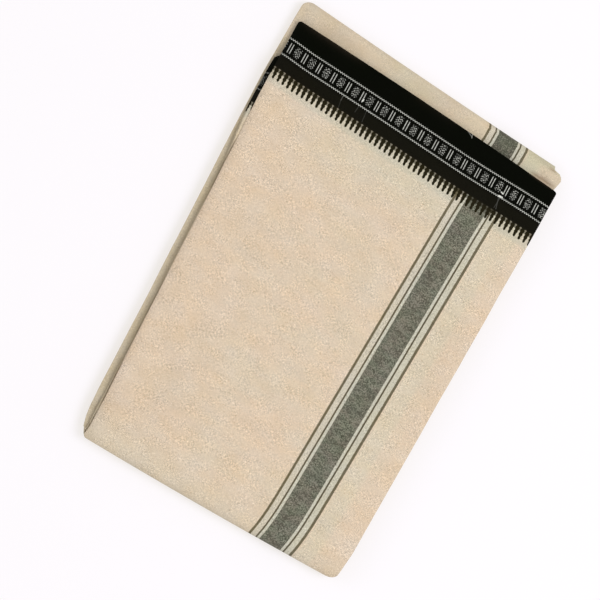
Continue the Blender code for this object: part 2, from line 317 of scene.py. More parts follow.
STRIPES = (  # from the right-hand brown line: from, to, colour
    (-0.75, 1.2, (0.152, 0.131, 0.082, 1.0)),  # right brown line
    (1.2, 4.95, (0.560, 0.529, 0.424, 1.0)),  # right pale band
    (4.95, 6.2, (0.108, 0.094, 0.060, 1.0)),  # right thin line
    (6.2, 8.05, (0.555, 0.537, 0.444, 1.0)),  # right white edge
    (8.05, 24.6, (0.0855, 0.0875, 0.063, 1.0)),  # grey band
    (24.6, 26.5, (0.555, 0.537, 0.444, 1.0)),  # left white edge
    (26.5, 27.75, (0.122, 0.105, 0.068, 1.0)),  # left thin line
    (27.75, 31.5, (0.590, 0.537, 0.434, 1.0)),  # left pale band
    (31.55, 33.35, (0.155, 0.131, 0.080, 1.0)),  # left brown line
)
GREY_BAND = (8.1, 24.6)  # where the grey is mixed from several yarns

# How much of a colour shows at most.
FLECKS_SHOW = 0.62
SLUBS_SHOW = 0.9
TOP_FOLD_SHADE_SHOWS = 0.9
FINGERS_SHOW = 0.6
CREASE_SHADE_SHOWS = 0.72
PALER_GREY_SHOWS = 0.64
# Where the ground is greener: in patches, below the border, beside the stripes and round the bottom fold.
PATCHES_GREENER = 0.5
BELOW_BORDER_GREENER = 0.8
LESS_GREEN_AT_LEFT = Slope(90.0, 170.0, 1.0, 0.25)
LESS_GREEN_AT_END = Slope(-24.0, -18.0, 0.3, 1.0)
GREENER_BESIDE_STRIPES = (Slope(-19.0, -11.0), Slope(-3.0, 0.0, 0.9, 0.0))
GREENER_AT_BOTTOM = (Slope(285.0, 330.0, 0.0, 0.8), Slope(345.0, 400.0, 1.0, 0.0))
# Painted shade where the cloth turns round the top fold at its cut end, along and across it.
TURN_ALONG = Slope(-5.0, 0.0, 1.0, 0.0)
TURN_STARTS = Slope(645.0, 652.0)
TURN_ENDS = Slope(666.0, 672.0, 1.0, 0.0)
# The ground between the teeth is paler, down to where BELOW_BORDER starts to fall.
FINGERS = Slope(0.97, 1.0)
# Beyond the bottom fold, and so on the strip, the yarn is smoother and the grey darker.
STRIP_SMOOTHER = Slope(300.0, 500.0, 1.0, 0.6)
STRIP_DARKER = Slope(300.0, 500.0, 0.0, 0.14)

# The yarn: how it wavers, how its slubs stand up, and how unevenly light and coloured it is.
YARN_PITCH = 0.46
YARN_WAVER = 1.6
WEAVE_HEIGHT = 0.22
SLUB_HEIGHT = 0.9
FINE_SLUBS = 1.2
LIGHT_AND_DARK = Slope(1.2, 2.0, -1.0, 1.0)
CALM_AND_LIVELY = Slope(0.36, 0.62, 0.45, 1.4)
BROAD_PATCHES = 0.7
STREAKS = 0.3
PATCHES = Slope(0.32, 0.68)
CLUSTERS = Slope(0.38, 0.60, 0.3, 1.0)
FLECKS = Slope(0.60, 0.70)
LIGHT_SWING = 0.235
TONE_SWING = 0.21
YELLOW_SWING = 0.50
ROUGHNESS = 0.86
ROUGHNESS_SWING = -0.06
# The grey band's paler threads: their share grows with the yarn's light, in blotches and clouds.
GREY_LIGHT = 0.22
BLOTCHES = 1.75
BLOTCHES_LESS = 0.375
CLOUDS = 0.85
PALER_THREADS = Slope(0.28, 0.74)
BROWNER_PATCHES = Slope(0.34, 0.66)
GAPING = Slope(0.46, 0.66)
STRIPE_STRAY = 0.5
# The border's figures are dotted, and its white yarn is worn.
DOTTED = Slope(0.32, 0.68, 0.0, 0.82)
WORN = Slope(0.2, 0.6, 0.62, 1.0)

# Noise on the cloth: the size of its grains along and across the cloth, its detail and its seed.
GRAINS = {
    "waver": (9.0, 9.0, 1.0, 2.0),
    "weft slubs": (2.2, 0.52, 3.0, 11.0),
    "warp slubs": (0.52, 2.0, 3.0, 17.0),
    "fine slubs": (0.82, 0.70, 3.0, 23.0),
    "lively": (11.0, 8.0, 2.0, 59.0),
    "patches": (42.0, 30.0, 3.0, 31.0),
    "streaks": (60.0, 5.0, 2.0, 37.0),
    "clusters": (10.0, 7.0, 2.0, 43.0),
    "flecks": (1.0, 0.78, 1.0, 41.0),
    "pale slubs": (1.25, 0.8, 1.0, 47.0),
    "stripe edges": (4.0, 1.0, 2.0, 51.0),
    "blotches": (1.1, 0.95, 3.0, 53.0),
    "clouds": (7.5, 3.4, 2.0, 57.0),
    "browner": (11.0, 8.0, 2.0, 69.0),
    "gaps": (0.85, 0.75, 2.0, 77.0),
    "slits": (2.3, 0.95, 2.0, 67.0),
    "figures": (2.2, 2.6, 2.0, 71.0),
    "dots": (0.9, 0.9, 1.0, 73.0),
    "wear": (1.2, 0.7, 2.0, 61.0),
    "tone": (16.0, 10.0, 3.0, 63.0),
    "yellower": (20.0, 14.0, 2.0, 65.0),
}

# The studio, in metres and watts.
FLOOR_SIZE = 6.0
FLOOR_BELOW = 0.0005
FLOOR_COLOUR = (0.31, 0.31, 0.40, 1.0)
FLOOR_GLOW = (1.0, 0.957, 0.842, 1.0)
FLOOR_GLOW_STRENGTH = 0.651
SKY_COLOUR = (1.0, 0.995, 1.0, 1.0)
SKY_STRENGTH = 0.637
SOFTBOXES = (  # name, place, size, power
    ("key softbox", (1.25, 0.45, 1.75), 1.3, 26.0),
    ("front softbox", (0.2, -1.5, 1.5), 1.4, 3.8),
    ("fill softbox", (-1.4, -0.2, 1.0), 1.3, 3.6),
)
CAMERA_OVER = (-0.0116, -0.0131)
CAMERA_TURN = 28.8
FRAME_WIDTH = 0.4168  # what the camera sees at the top of the pack
LENS = 190.0  # on a sensor this wide, in millimetres
SENSOR = 36.0

Row = namedtuple("Row", "point side other blend stack")
Column = namedtuple("Column", "layer share angle")


# ---- the path of the cloth through the pack


def cross_line(name, share):
    line = CROSS_LINES[name]
    return line.left + (line.right - line.left) * share - line.sag * 4 * share * (1 - share)


def between(rows, y):
    """The value at y of a table of (y, value) rows that run down the pack."""
    if y >= rows[0][0]:
        return rows[0][1]
    for (y_high, high), (y_low, low) in zip(rows, rows[1:]):
        if y >= y_low:
            return low + (high - low) * (y - y_low) / (y_high - y_low)
    return rows[-1][1]


def kept_in(share):
    """A share kept between 0 and 1."""
    return min(max(share, 0.0), 1.0)


def smooth(share):
    share = kept_in(share)
    return share * share * (3 - 2 * share)


def corner_cut(line, side, y):
    """How far the corner at an end or a fold draws the side edge in, at y."""
    if (line, side) not in CORNERS:
        return 0.0
    across, along = CORNERS[line, side]
    distance = abs(y - cross_line(line, 0.0 if side == "left" else 1.0))
    if distance >= along:
        return 0.0
    return across * (1 - math.sqrt(max(0.0, 1 - (1 - distance / along) ** 2)))


def on_face(down):
    """On the face, this far down from the near selvedge."""

    def point(share):
        y = cross_line("near selvedge", share) - down
        past = y - cross_line("far selvedge", share) - STEP_START
        drop = (PRESSED_STACK + GAP) * smooth(past / STEP_LENGTH)
        return y, PACK_HEIGHT - drop, 0.0, -1.0

    return point


def on_flat(line, offset, height, inwards):
    """On a flat run, at this offset along Y from an end or a fold. inwards is 1 for up and -1 for down."""

    def point(share):
        return cross_line(line, share) + offset, height, 0.0, inwards

    return point


def on_fold(line, offset, centre, radius, angle, inwards=1.0):
    """On a round fold, at an angle that starts at its top and turns towards -Y."""
    across, up = -math.sin(math.radians(angle)), math.cos(math.radians(angle))

    def point(share):
        y = cross_line(line, share) + offset + radius * across
        return y, centre + radius * up, -inwards * across, -inwards * up

    return point


def part_way(first, last, part):
    """A point function this part of the way from one to another."""

    def point(share):
        return tuple(a + (b - a) * part for a, b in zip(first(share), last(share)))

    return point


def flat_run(first, last, spacing, side, stack):
    """Rows from one point function to another, without the last."""
    length = max(math.dist(first(share)[:2], last(share)[:2]) for share in (0.0, 1.0))
    count = max(1, round(length / spacing))
    return [Row(part_way(first, last, i / count), side, side, 0.0, stack) for i in range(count)]


def fold_run(fold, count, angles, sides, stacks):
    """Rows round a fold, without the last."""
    rows = []
    for i in range(count):
        turn = i / count
        angle = angles[0] + (angles[1] - angles[0]) * turn
        stack = stacks[0] + (stacks[1] - stacks[0]) * turn
        rows.append(Row(fold(angle), *sides, smooth(turn), stack))
    return rows


def folded_path():
    """Every row from the near selvedge to the far one, and the rows where the pieces meet."""
    marks = {}
    strip_end = on_flat("near selvedge", -TONGUE, 2 * TOP_FOLD, -1.0)
    second_height = 2 * TOP_FOLD + GAP

    def bottom(angle):
        return on_fold("bottom fold", BOTTOM_FOLD, BOTTOM_FOLD, BOTTOM_FOLD, angle)

    def top(angle):
        return on_fold("top fold", -TOP_FOLD, TOP_FOLD, TOP_FOLD, angle)

    def inner(angle):
        return on_fold("bottom fold", BOTTOM_FOLD, 2 * TOP_FOLD + INNER_FOLD, INNER_FOLD, angle, -1.0)

    downs = [SELVEDGE_STEP * i for i in range(SELVEDGE_ROWS)]
    downs += [STEP_ROWS_START + STEP_ROWS_APART * i for i in range(STEP_ROWS)]
    rows = [Row(on_face(down), "face", "face", 0.0, PRESSED_STACK) for down in downs]
    rows += flat_run(on_face(STEP_ROWS_END), bottom(0.0), ROW_STEP, "face", PRESSED_STACK)
    marks["bottom crest"] = len(rows) + BOTTOM_FOLD_ROWS // 2
    stacks = (PRESSED_STACK, STACK)
    rows += fold_run(bottom, BOTTOM_FOLD_ROWS, (0.0, 180.0), ("face", "underside"), stacks)
    rows += flat_run(bottom(180.0), top(180.0), 2 * ROW_STEP, "underside", STACK)
    rows += fold_run(top, TOP_FOLD_ROWS, (180.0, 360.0), ("underside", "strip"), (STACK, STACK))
    rows += flat_run(top(360.0), strip_end, FINE_STEP, "strip", STACK)
    marks["tongue"] = len(rows)
    rows += flat_run(strip_end, inner(180.0), HIDDEN_STEP, "strip", STACK)
    stacks = (STACK, PRESSED_STACK)
    rows += fold_run(inner, INNER_FOLD_ROWS, (180.0, 0.0), ("strip", "second"), stacks)
    foot = on_flat("bottom fold", SECOND_FOOT, second_height, 1.0)
    rows += flat_run(inner(0.0), foot, ROW_STEP, "second", PRESSED_STACK)
    marks["second foot"] = len(rows)
    far_end = on_flat("far selvedge", 0.0, second_height, 1.0)
    near_far_end = on_flat("far selvedge", -SELVEDGE_REACH, second_height, 1.0)
    rows += flat_run(foot, near_far_end, 1.5 * ROW_STEP, "second", PRESSED_STACK)
    rows += flat_run(near_far_end, far_end, SELVEDGE_STEP, "second", PRESSED_STACK)
    rows.append(Row(far_end, "second", "second", 0.0, PRESSED_STACK))
    return rows, marks


def lengths_along(rows, share):
    """How far each row lies from the near selvedge, along the outer layer at this share across."""
    lengths = [0.0]
    for row, following in zip(rows, rows[1:]):
        lengths.append(lengths[-1] + math.dist(row.point(share)[:2], following.point(share)[:2]))
    return lengths


def blended(row, value):
    """What a function of the stretch gives at a row, which may turn from one stretch into another."""
    near, far = value(row.side), value(row.other)
    return near + (far - near) * row.blend


def side_edge(row, side, y):
    """The x of a row's left or right end at y, with the corners cut."""
    tables, inwards = (LEFT_EDGES, 1) if side == "left" else (RIGHT_EDGES, -1)

    def edge(stretch):
        cut = max(corner_cut(line, side, y) for line in CORNER_LINES[stretch])
        return between(tables[stretch], y) + inwards * cut

    return blended(row, edge)


def stripe_line(row, y):
    return blended(row, lambda stretch: between(STRIPE_LINES[stretch], y))


def gathered(row):
    """How many millimetres of cloth lie in one across this row."""
    return blended(row, lambda stretch: STRIP_GATHER if stretch == "strip" else 1.0)


# ---- creases and stray edges


def crease_height(creases, x, y):
    """How far the creases lift the cloth. Each fades out at its sides and over its end thirds."""
    height = 0.0
    for crease in creases:
        along_x, along_y = crease.x2 - crease.x1, crease.y2 - crease.y1
        length = math.hypot(along_x, along_y)
        along = ((x - crease.x1) * along_x + (y - crease.y1) * along_y) / length
        aside = ((x - crease.x1) * along_y - (y - crease.y1) * along_x) / length
        fade = smooth(along / length * 3) * smooth((1 - along / length) * 3)
        height += crease.depth * fade * math.exp(-((aside / crease.width) ** 2))
    return height


def swell(along, aside, seed):
    """Smooth noise from -1 to 1. Each seed gives its own."""
    return noise.noise(Vector((along, aside, seed)))


def relief(x, y, z):
    """How far the cloth is lifted. 4 * up * (1 - up) is 1 half-way up, where the strip lies."""
    up = kept_in(z / PACK_HEIGHT)
    rolling = UNDULATION * swell(x / BROAD_SWELL, y / BROAD_SWELL, seed=3.7)
    rolling += QUICK_SHARE * UNDULATION * swell(x / QUICK_SWELL, y / QUICK_SWELL, seed=8.1)
    face = crease_height(FACE_CREASES, x, y) + rolling
    strip = crease_height(STRIP_CREASES, x, y) * 4 * up * (1 - up)
    under = crease_height(UNDERSIDE_CREASES, x, y) * (1 - up) ** 2
    from_left = x - between(LEFT_EDGES["underside"], y)
    from_right = between(RIGHT_EDGES["face"], y) - x
    droop = DROOP * (1 - smooth(from_left / DROOP_REACH))
    droop += RIGHT_DROOP * DROOP * (1 - smooth(from_right / DROOP_REACH))
    from_bottom = y - cross_line("bottom fold", kept_in((x - BOTTOM_LEFT) / BOTTOM_WIDTH))
    droop += BOTTOM_DROOP * (1 - smooth(from_bottom / BOTTOM_REACH))
    from_face = x - between(LEFT_EDGES["face"], y)
    droop += SHOULDER * (1 - kept_in(from_face / SHOULDER_REACH)) ** 2
    if y < cross_line("far selvedge", 0.0):
        droop -= (LEDGE_LIFT + SHOULDER) * smooth((-LEDGE_START - from_face) / LEDGE_RISE)
    return face * up + strip + under - droop * z


def painted_crease_shade(x, y, z):
    """How much painted shade this place gets in the troughs of the creases that show, from 0 to 1."""
    up = kept_in(z / PACK_HEIGHT)
    depth = -crease_height(FACE_CREASES, x, y) * FACE_CREASE_SHADE * up ** 4
    depth -= crease_height(STRIP_CREASES, x, y) * 4 * up * (1 - up)
    return kept_in(depth)


def stray(length, number, reach):
    """How far an edge strays at this length along it. Each number has its own line."""
    line = NOISE_LINES_APART * number
    slow = swell(length / SLOW_STRAY, line, seed=0.7)
    quick = swell(length / QUICK_STRAY, line, seed=4.9)
    return reach * (slow + QUICK_SHARE * quick)


def stand_back(side, layer, length):
    """How far one layer's side fold or cut end stands back from the pack's edge."""
    number = (layer - 1) // 2 if side == "left" else layer // 2
    back = (LEFT_BACK if side == "left" else RIGHT_BACK)[number]
    reach = EDGE_WANDER if number == 0 else 2 * EDGE_WANDER
    return back + stray(length, number + SIDE_LINES[side], reach)


# ---- sheets


def panel(layer, count):
    """Columns across one panel. Odd panels run from right to left and even ones back."""
    shares = [0.5 - 0.5 * math.cos(math.pi * i / count) for i in range(count + 1)]
    shares = [CROWDED_COLUMNS * share + EVEN_COLUMNS * i / count for i, share in enumerate(shares)]
    if layer % 2:
        shares.reverse()
    return [Column(layer, share, None) for share in shares]


def side_fold(layer):
    """Columns round the fold from one layer to the next: at the left after an odd one."""
    share = 0.0 if layer % 2 else 1.0
    return [Column(layer, share, angle) for angle in FOLD_ANGLES]


def pair(layer, count):
    """Two panels, the first with this many columns, and the fold between them."""
    return panel(layer, count) + side_fold(layer) + panel(layer + 1, HIDDEN_COLUMNS)


def cloth_point(row, column, length, left_length, right_length, total):
    """Where one point of the cloth lies, in millimetres."""
    pitch = row.stack / LAYERS
    share = column.share
    y, z, y_in, z_in = row.point(share)
    if column.angle is None:
        depth = (column.layer - 0.5) * pitch
        stand = pitch / 2
    else:
        depth = (column.layer - 0.5 * math.cos(math.radians(column.angle))) * pitch
        stand = pitch / 2 * (1 - math.sin(math.radians(column.angle)))
    left = side_edge(row, "left", row.point(0.0)[0]) + stand_back("left", column.layer, left_length)
    right = side_edge(row, "right", row.point(1.0)[0]) - stand_back("right", column.layer, right_length)
    x = (left + stand) * (1 - share) + (right - stand) * share
    near_back = SELVEDGE_BACK[column.layer - 1] * (1 - smooth(length / SELVEDGE_FADE))
    far_back = SELVEDGE_BACK[LAYERS - column.layer] * (1 - smooth((total - length) / SELVEDGE_FADE))
    fade = 1 - smooth(min(length, total - length) / SELVEDGE_WANDER_FADE)
    end_stray = stray(x, column.layer, SELVEDGE_WANDER) * fade
    y += depth * y_in - near_back - far_back + end_stray
    z += depth * z_in
    return Vector((x, y, z + relief(x, y, z)))


def laid_out(rows, lengths, first, last, columns):
    """The points of a run of cloth, and each one's place on the cloth as it was woven."""
    points, woven = [], []
    for number in range(first, last + 1):
        row = rows[number]
        gather = gathered(row)
        previous = None
        for column in columns:
            run = lengths[column.share]
            point = cloth_point(
                row, column, run[number], lengths[0.0][number], lengths[1.0][number], run[-1]
            )
            if previous is None:
                along = (column.layer - 1) * PANEL
                if column.layer == 1:
                    along = (stripe_line(row, row.point(column.share)[0]) - point.x) * gather
            else:
                along += (point.xz - previous.xz).length * gather
            previous = point
            taken_up = smooth((run[number] / run[-1] - SURPLUS_START) / SURPLUS_LENGTH)
            surplus = (CLOTH_WIDTH - run[-1]) * taken_up
            points.append(point)
            woven.append((along, run[number] + surplus))
    return points, woven, last - first + 1, len(columns)


def cloth_sheet(name, runs):
    """One piece of thin cloth, made of one or more runs of panels."""
    vertices, faces, woven_places = [], [], []
    for points, woven, row_count, column_count in runs:
        base = len(vertices)
        vertices += [point * MM for point in points]
        woven_places += woven
        for i in range(row_count - 1):
            for j in range(column_count - 1):
                corner = base + i * column_count + j
                faces.append((corner, corner + column_count, corner + column_count + 1, corner + 1))
    mesh = bpy.data.meshes.new(name)
    mesh.from_pydata(vertices, [], faces)
    # The painted shade of the creases, kept on each point for the material.
    shade = mesh.attributes.new("painted_crease_shade", "FLOAT", "POINT")
    for vertex, value in zip(mesh.vertices, shade.data):
        value.value = painted_crease_shade(*(vertex.co / MM))
    cloth_map = mesh.uv_layers.new(name="cloth")
    for loop in mesh.loops:
        along, across = woven_places[loop.vertex_index]
        cloth_map.data[loop.index].uv = (along * MM, across * MM)
    piece = bpy.data.objects.new(name, mesh)
    bpy.context.collection.objects.link(piece)
    thicken(piece)
    return piece


def thicken(piece):
    bpy.ops.object.select_all(action="DESELECT")
    piece.select_set(True)
    bpy.context.view_layer.objects.active = piece
    shell = piece.modifiers.new("cloth thickness", "SOLIDIFY")
    shell.thickness = CLOTH_THICKNESS * MM
    shell.offset = 0.0
    bpy.ops.object.modifier_apply(modifier=shell.name)
    bpy.ops.object.shade_smooth_by_angle(angle=math.radians(SMOOTH_ANGLE))


def flat_area(runs):
    """The cloth's area before folding, in square metres."""
    area = 0.0
    for _, woven, row_count, column_count in runs:
        for i in range(row_count - 1):
            for j in range(column_count - 1):
                corner = i * column_count + j
                along_step = woven[corner + 1][0] - woven[corner][0]
                across_step = woven[corner + column_count][1] - woven[corner][1]
                area += abs(along_step * across_step)
    return area * MM * MM


# ---- shader wiring


def put_in(slot, value):
    """Gives an input of a shader node a wire, another node's output or a plain value."""
    if isinstance(value, Wire):
        value = value.socket
    if isinstance(value, bpy.types.NodeSocket):
        slot.id_data.links.new(value, slot)
    elif value is not None:
        slot.default_value = value


def fill_in(node, **values):
    """The same for several inputs, by name. Each _ stands for a space."""
    for name, value in values.items():
        put_in(node.inputs[name.replace("_", " ")], value)


class Wire:
    """A number that runs between shader nodes. It is added, multiplied and compared as a number is."""

    def __init__(self, socket):
        self.socket = socket
        self.tree = socket.id_data

    def math(self, operation, other=None):
        node = self.tree.nodes.new("ShaderNodeMath")
        node.operation = operation
        put_in(node.inputs[0], self)
        put_in(node.inputs[1], other)
        return Wire(node.outputs[0])

    def __add__(self, other):
        return self.math("ADD", other)

    def __sub__(self, other):
        return self.math("SUBTRACT", other)

    def __mul__(self, other):
        return self.math("MULTIPLY", other)

    def size(self):
        return self.math("ABSOLUTE")

    def most(self, other):
        return self.math("MAXIMUM", other)

    def least(self, other):
        return self.math("MINIMUM", other)

    def repeat(self, pitch, start):
        """How far it is from the middle of the repeat that it falls in, from -pitch/2 to pitch/2."""
        return (self - (start - pitch / 2)).math("FLOORED_MODULO", pitch) - pitch / 2

    def ramp(self, low, high, to_low=0.0, to_high=1.0):
        """Turns low to high into to_low to to_high, smoothly."""
        node = self.tree.nodes.new("ShaderNodeMapRange")
        node.interpolation_type = "SMOOTHSTEP"
        fill_in(node, Value=self, From_Min=low, From_Max=high, To_Min=to_low, To_Max=to_high)
        return Wire(node.outputs["Result"])

    def under(self, limit, soft=YARN_EDGE):
        """1 where it is less than the limit, which may be a wire, and 0 where it is more."""
        return (self - limit).ramp(-soft, soft, 1.0, 0.0)


def new_group(name, inputs, outputs):
    """An empty shader group, with its input and output nodes."""
    tree = bpy.data.node_groups.new(name, "ShaderNodeTree")
    for in_out, sockets in (("INPUT", inputs), ("OUTPUT", outputs)):
        for socket_name, kind in sockets.items():
            tree.interface.new_socket(name=socket_name, in_out=in_out, socket_type="NodeSocket" + kind)
    return tree, tree.nodes.new("NodeGroupInput"), tree.nodes.new("NodeGroupOutput")


def split(vector):
    """The two parts of a place on the cloth, in millimetres."""
    node = vector.id_data.nodes.new("ShaderNodeSeparateXYZ")
    put_in(node.inputs[0], vector)
    return Wire(node.outputs["X"]), Wire(node.outputs["Y"])


def speckle(along, across, name):
    """Noise from 0 to 1 on the cloth, with the grains of this name."""
    along_size, across_size, detail, seed = GRAINS[name]
    place = along.tree.nodes.new("ShaderNodeCombineXYZ")
    fill_in(place, X=along * (1 / along_size), Y=across * (1 / across_size), Z=seed)
    grains = along.tree.nodes.new("ShaderNodeTexNoise")
    fill_in(grains, Vector=place.outputs[0], Scale=1.0, Detail=detail)
    return Wire(grains.outputs["Fac"])


def swinging(along, across, name, swing):
    """The same noise, from -swing / 2 to swing / 2."""
    return speckle(along, across, name) * swing - swing / 2


def lies_between(place, start, end):
    """1 where a place lies in this band of the cloth, and 0 outside it."""
    middle, half = (start + end) / 2, (end - start) / 2
    return (place - middle).size().under(half)


def mix(share, first, second, blend="MIX"):
    """Mixes two colours, each a colour or another node's output, by the share of the second."""
    node = share.tree.nodes.new("ShaderNodeMix")
    node.data_type = "RGBA"
    node.blend_type = blend
    slots = [slot for slot in node.inputs if slot.enabled]
    for slot, value in zip(slots, (share, first, second)):
        put_in(slot, value)
    return node.outputs[2]


def hand_loomed_weave():
    """Uneven handspun yarn in a plain weave: how light each thread is, and how high it stands."""
    tree, given, made = new_group(
        "hand-loomed weave",
        {"Cloth": "Vector", "Yarn Pitch": "Float"},
        dict.fromkeys(("Light", "Height", "Patches", "Fleck", "Slub"), "Float"),
    )
    along, across = split(given.outputs["Cloth"])
    pitch = Wire(given.outputs["Yarn Pitch"])
    turn = pitch.math("POWER", -1.0) * (2 * math.pi)
    waver = speckle(along, across, "waver") * YARN_WAVER
    warp = ((along + waver) * turn).math("SINE")
    weft = ((across + waver) * turn).math("SINE")
    weft_slub = speckle(along, across, "weft slubs")
    warp_slub = speckle(along, across, "warp slubs")
    fine_slub = speckle(along, across, "fine slubs")
    slubs = weft_slub + warp_slub + fine_slub * FINE_SLUBS
    lively = speckle(along, across, "lively").ramp(*CALM_AND_LIVELY)
    light = slubs.ramp(*LIGHT_AND_DARK) * lively
    height = warp * weft * WEAVE_HEIGHT + (weft_slub + warp_slub) * SLUB_HEIGHT
    broad = speckle(along, across, "patches")
    streaks = speckle(along, across, "streaks")
    patches = (broad * BROAD_PATCHES + streaks * STREAKS).ramp(*PATCHES)
    clusters = speckle(along, across, "clusters").ramp(*CLUSTERS)
    fleck = speckle(along, across, "flecks").ramp(*FLECKS) * clusters
    slub = speckle(along, across, "pale slubs").ramp(*FLECKS) * clusters
    fill_in(made, Light=light, Height=height, Patches=patches, Fleck=fleck, Slub=slub)
    return tree


def stripe_group():
    """The stripes that cross the cloth near its cut end, laid over the ground's colour."""
    tree, given, made = new_group(
        "stripe group",
        {"Cloth": "Vector", "Ground": "Color", "Light": "Float"},
        {"Colour": "Color"},
    )
    along, across = split(given.outputs["Cloth"])
    place = along + swinging(along, across, "stripe edges", STRIPE_STRAY)
    colour = given.outputs["Ground"]
    for start, end, yarn in STRIPES:
        colour = mix(lies_between(place, start, end), colour, yarn)
    grey = lies_between(place, *GREY_BAND)
    blotches = speckle(along, across, "blotches") * BLOTCHES - BLOTCHES_LESS
    cloudy = swinging(along, across, "clouds", CLOUDS)
    light = Wire(given.outputs["Light"]) * GREY_LIGHT
    paler = light + blotches - across.ramp(*STRIP_DARKER) + cloudy
    paler = paler.ramp(*PALER_THREADS) * grey * PALER_GREY_SHOWS
    colour = mix(paler, colour, PALER_GREY)
    browner = speckle(along, across, "browner").ramp(*BROWNER_PATCHES) * grey
    colour = mix(browner, colour, BROWNER_GREY, "MULTIPLY")
    beside_grey = lies_between(place, STRIPES[0][0], STRIPES[-1][1]) - grey
    gaps = speckle(along, across, "gaps").ramp(*GAPING)
    colour = mix(gaps * beside_grey, colour, BETWEEN_THREADS, "MULTIPLY")
    fill_in(made, Colour=colour)
    return tree


def on_thread(along, across, thread):
    """1 along a loose end of yarn, and 0 away from it."""
    run_along, run_across = thread.to_along - thread.along, thread.to_across - thread.across
    square = run_along ** 2 + run_across ** 2
    off_along, off_across = along - thread.along, across - thread.across
    way = (off_along * (run_along / square) + off_across * (run_across / square)).most(0.0).least(1.0)
    off_along, off_across = off_along - way * run_along, off_across - way * run_across
    distance = (off_along * off_along + off_across * off_across).math("SQRT")
    return distance.under(thread.half, LOOSE_EDGE) * thread.strength


def woven_border():
    """The black border along each selvedge: where its black and its white yarn show."""
    tree, given, made = new_group(
        "woven border",
        {"Cloth": "Vector"},
        dict.fromkeys(("Black", "White", "Inner", "Teeth", "Below"), "Float"),
    )
    whole_along, whole_across = split(given.outputs["Cloth"])
    along = whole_along - whole_along.ramp(*CROWDING[0]) - whole_along.ramp(*CROWDING[1])
    near = whole_across + whole_along.ramp(*DRAWN_IN_AT_FOLD) + whole_along.ramp(*DRAWN_IN_AT_END)
    across = near.least(whole_across * -1.0 + CLOTH_WIDTH)

    first_start, first_end, first_change = SLIT_STEPS[0]
    slit = across.ramp(first_start, first_end, SLIT_CLOSED, SLIT_CLOSED + first_change)
    for start, end, change in SLIT_STEPS[1:]:
        slit = slit + across.ramp(start, end, 0.0, change)
    uneven = swinging(along, across, "slits", SLIT_UNEVEN)
    beside_slit = along - (across - TOOTH_MIDDLE) * TOOTH_SLANT
    open_slit = beside_slit.repeat(TOOTH_PITCH, FIRST_SLIT).size().under(slit + uneven)
    black = open_slit * across.ramp(*SLIT_CLEAR) * -1.0 + 1.0

    stitch = along.repeat(STITCH, 0.0)
    slanted = across + stitch * STITCH_SLANT + stitch.size() * STITCH_WAVE - STITCH_WAVE * STITCH / 4
    first = (slanted - FIRST_LINE).size().under(LINE_HALF)
    second = (slanted - SECOND_LINE).size().under(LINE_HALF)
    lines = first.most(second) * (stitch.size() * -STITCH_END_DARKER + STITCH_WHITE)

    up = across - MOTIF_MIDDLE
    row = up.size().under(MOTIF_HALF, MOTIF_EDGE)
    beside = along.repeat(MOTIF_PITCH, FIRST_BARS) + up * BAR_SLANT
    bars = (beside.size() - BAR_OFF_MIDDLE).size().under(BAR_HALF, BAR_EDGE)
    bars = bars * (across.repeat(BAR_STITCH, 0.0).size() * -BAR_STITCH_DARKER + BAR_WHITE)
    aside = along.repeat(MOTIF_PITCH, FIRST_BARS + MOTIF_PITCH / 2)
    ragged = across.repeat(FIGURE_ROW / 2, 0.0).size() * FIGURE_RAGGED
    outline = (aside.size() + ragged).under(up.size() * -FIGURE_NARROWING + FIGURE_WAIST, MOTIF_EDGE)
    hump = aside.math("PINGPONG", FIGURE_HUMP / 2) * (FIGURE_RISE / (FIGURE_HUMP / 2))
    waver = speckle(along, across, "figures") * FIGURE_WAVER
    off_row = (up + hump + waver).repeat(FIGURE_ROW, FIGURE_ROW_START).size()
    chevron = off_row.under(FIGURE_ROW * FIGURE_ROW_HALF, CHEVRON_EDGE)
    dotted = speckle(along, across, "dots").ramp(*DOTTED)
    figures = outline * chevron * dotted
    white = lines.most(row * bars.most(figures))
    worn = speckle(along, across, "wear").ramp(*WORN)
    fold = whole_along.repeat(PANEL, 0.0).size().ramp(*RUBBED_AT_FOLD)
    rubbed = fold.most(whole_across.ramp(*NEAR_HALF))

    white = white * worn * rubbed
    for thread in LOOSE_ENDS:
        white = white.most(on_thread(whole_along, whole_across, thread))
    inner = across.ramp(*INNER_BLACK)
    teeth = across.ramp(*TEETH)
    below = across.ramp(*BELOW_BORDER)
    fill_in(made, Black=black, White=white, Inner=inner, Teeth=teeth, Below=below)
    return tree


def placed(tree, group, **values):
    """Puts a shader group into a material, with its own values and wires."""
    node = tree.nodes.new("ShaderNodeGroup")
    node.node_tree = group
    fill_in(node, **values)
    return node


